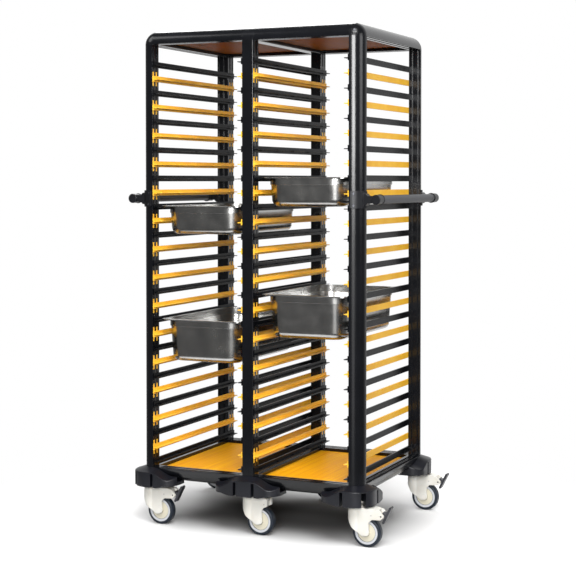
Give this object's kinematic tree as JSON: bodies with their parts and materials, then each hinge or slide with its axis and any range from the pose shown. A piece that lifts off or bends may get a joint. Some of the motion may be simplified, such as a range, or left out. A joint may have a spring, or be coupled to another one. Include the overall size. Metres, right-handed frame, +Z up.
{
  "type": "gastronorm tray trolley",
  "caption": "Tall double-bay catering trolley: black anodised frame, snap-in black and yellow tray runners, steel pans, side push handles, corner bumpers and swivel casters with brakes",
  "frame": {"origin": "on the floor, under the middle of the frame", "axes": "+X across the two bays to the right seen from the front, +Y from the front to the back, +Z up"},
  "size_m": [1.0394, 0.708, 1.74],
  "materials": {
    "black_anodised": "satin black anodised extrusion",
    "black_castings": "smooth moulded black corner pieces",
    "panel_plastic": "ribbed yellow sheet",
    "runner_black": "moulded, light texture",
    "runner_yellow": "moulded, light texture",
    "caster_white": "smooth moulded nylon",
    "tyre_grey": "soft grey tread",
    "pedal_grey": "smooth moulded",
    "axle_steel": "turned, zinc plated",
    "neck_white": "smooth moulded nylon over the swivel races",
    "plug_black": "moulded",
    "bumper_black": "moulded impact plastic",
    "handle_grey": "grey anodised tube with fine grooves",
    "bracket_black": "moulded, light texture",
    "cap_black": "moulded",
    "screw_steel": "bright socket screws",
    "pan_steel": "satin stainless sheet"
  },
  "bodies": {
    "frame": {"post_front_left": "black_anodised", "post_front_centre": "black_anodised", "post_front_right": "black_anodised", "post_rear_left": "black_anodised", "post_rear_centre": "black_anodised", "post_rear_right": "black_anodised", "top_rails_long": "black_anodised", "top_rails_side": "black_anodised", "top_rail_centre": "black_anodised", "bottom_rails_long": "black_anodised", "bottom_rails_side": "black_anodised", "bottom_rail_centre": "black_anodised", "top_corners": "black_castings", "top_connectors": "black_castings", "top_panels": "panel_plastic", "decks": "panel_plastic", "runners_black_left": "runner_black", "runners_black_right": "runner_black", "runners_yellow_left": "runner_yellow", "runners_yellow_right": "runner_yellow", "corner_bumpers": "bumper_black", "centre_bumpers": "bumper_black", "handle_tubes": "handle_grey", "handle_brackets": "bracket_black", "handle_caps": "cap_black", "screws": "screw_steel", "caster_necks": "neck_white", "post_plugs": "plug_black"},
    "fork_front_left": {"caster_fork_front_left": "caster_white", "axle_front_left": "axle_steel"},
    "wheel_front_left": {"wheel_hub_front_left": "caster_white", "tyre_front_left": "tyre_grey"},
    "pedal_front_left": {"brake_pedal_front_left": "pedal_grey"},
    "fork_front_centre": {"caster_fork_front_centre": "caster_white", "axle_front_centre": "axle_steel"},
    "wheel_front_centre": {"wheel_hub_front_centre": "caster_white", "tyre_front_centre": "tyre_grey"},
    "fork_front_right": {"caster_fork_front_right": "caster_white", "axle_front_right": "axle_steel"},
    "wheel_front_right": {"wheel_hub_front_right": "caster_white", "tyre_front_right": "tyre_grey"},
    "pedal_front_right": {"brake_pedal_front_right": "pedal_grey"},
    "fork_rear_left": {"caster_fork_rear_left": "caster_white", "axle_rear_left": "axle_steel"},
    "wheel_rear_left": {"wheel_hub_rear_left": "caster_white", "tyre_rear_left": "tyre_grey"},
    "pedal_rear_left": {"brake_pedal_rear_left": "pedal_grey"},
    "fork_rear_centre": {"caster_fork_rear_centre": "caster_white", "axle_rear_centre": "axle_steel"},
    "wheel_rear_centre": {"wheel_hub_rear_centre": "caster_white", "tyre_rear_centre": "tyre_grey"},
    "fork_rear_right": {"caster_fork_rear_right": "caster_white", "axle_rear_right": "axle_steel"},
    "wheel_rear_right": {"wheel_hub_rear_right": "caster_white", "tyre_rear_right": "tyre_grey"},
    "pedal_rear_right": {"brake_pedal_rear_right": "pedal_grey"},
    "pan_left_upper": {"pan_left_upper": "pan_steel"},
    "pan_left_lower": {"pan_left_lower": "pan_steel"},
    "pan_right_upper": {"pan_right_upper": "pan_steel"},
    "pan_right_lower": {"pan_right_lower": "pan_steel"}
  },
  "joints": [
    {"name": "swivel_front_left", "type": "hinge", "parent": "frame", "child": "fork_front_left", "pos_m": [-0.3905, -0.2955, 0.132], "axis": [0, 0, 1], "continuous": true},
    {"name": "roll_front_left", "type": "hinge", "parent": "fork_front_left", "child": "wheel_front_left", "pos_m": [-0.3485, -0.2955, 0.05], "axis": [0, 1, 0], "continuous": true},
    {"name": "brake_front_left", "type": "hinge", "parent": "fork_front_left", "child": "pedal_front_left", "pos_m": [-0.2945, -0.2955, 0.109], "axis": [0, 1, 0], "range_deg": [0, 15]},
    {"name": "swivel_front_centre", "type": "hinge", "parent": "frame", "child": "fork_front_centre", "pos_m": [0, -0.2955, 0.132], "axis": [0, 0, 1], "continuous": true},
    {"name": "roll_front_centre", "type": "hinge", "parent": "fork_front_centre", "child": "wheel_front_centre", "pos_m": [0.042, -0.2955, 0.05], "axis": [0, 1, 0], "continuous": true},
    {"name": "swivel_front_right", "type": "hinge", "parent": "frame", "child": "fork_front_right", "pos_m": [0.3905, -0.2955, 0.132], "axis": [0, 0, 1], "continuous": true},
    {"name": "roll_front_right", "type": "hinge", "parent": "fork_front_right", "child": "wheel_front_right", "pos_m": [0.4325, -0.2955, 0.05], "axis": [0, 1, 0], "continuous": true},
    {"name": "brake_front_right", "type": "hinge", "parent": "fork_front_right", "child": "pedal_front_right", "pos_m": [0.4865, -0.2955, 0.109], "axis": [0, 1, 0], "range_deg": [0, 15]},
    {"name": "swivel_rear_left", "type": "hinge", "parent": "frame", "child": "fork_rear_left", "pos_m": [-0.3905, 0.2955, 0.132], "axis": [0, 0, 1], "continuous": true},
    {"name": "roll_rear_left", "type": "hinge", "parent": "fork_rear_left", "child": "wheel_rear_left", "pos_m": [-0.4325, 0.2955, 0.05], "axis": [0, -1, 0], "continuous": true},
    {"name": "brake_rear_left", "type": "hinge", "parent": "fork_rear_left", "child": "pedal_rear_left", "pos_m": [-0.4865, 0.2955, 0.109], "axis": [0, -1, 0], "range_deg": [0, 15]},
    {"name": "swivel_rear_centre", "type": "hinge", "parent": "frame", "child": "fork_rear_centre", "pos_m": [0, 0.2955, 0.132], "axis": [0, 0, 1], "continuous": true},
    {"name": "roll_rear_centre", "type": "hinge", "parent": "fork_rear_centre", "child": "wheel_rear_centre", "pos_m": [0.042, 0.2955, 0.05], "axis": [0, 1, 0], "continuous": true},
    {"name": "swivel_rear_right", "type": "hinge", "parent": "frame", "child": "fork_rear_right", "pos_m": [0.3905, 0.2955, 0.132], "axis": [0, 0, 1], "continuous": true},
    {"name": "roll_rear_right", "type": "hinge", "parent": "fork_rear_right", "child": "wheel_rear_right", "pos_m": [0.4325, 0.2955, 0.05], "axis": [0, 1, 0], "continuous": true},
    {"name": "brake_rear_right", "type": "hinge", "parent": "fork_rear_right", "child": "pedal_rear_right", "pos_m": [0.4865, 0.2955, 0.109], "axis": [0, 1, 0], "range_deg": [0, 15]},
    {"name": "slide_pan_left_upper", "type": "slide", "parent": "frame", "child": "pan_left_upper", "axis": [0, -1, 0], "range_m": [0, 0.6]},
    {"name": "slide_pan_left_lower", "type": "slide", "parent": "frame", "child": "pan_left_lower", "axis": [0, -1, 0], "range_m": [0, 0.6]},
    {"name": "slide_pan_right_upper", "type": "slide", "parent": "frame", "child": "pan_right_upper", "axis": [0, -1, 0], "range_m": [0, 0.6]},
    {"name": "slide_pan_right_lower", "type": "slide", "parent": "frame", "child": "pan_right_lower", "axis": [0, -1, 0], "range_m": [0, 0.6]}
  ]
}
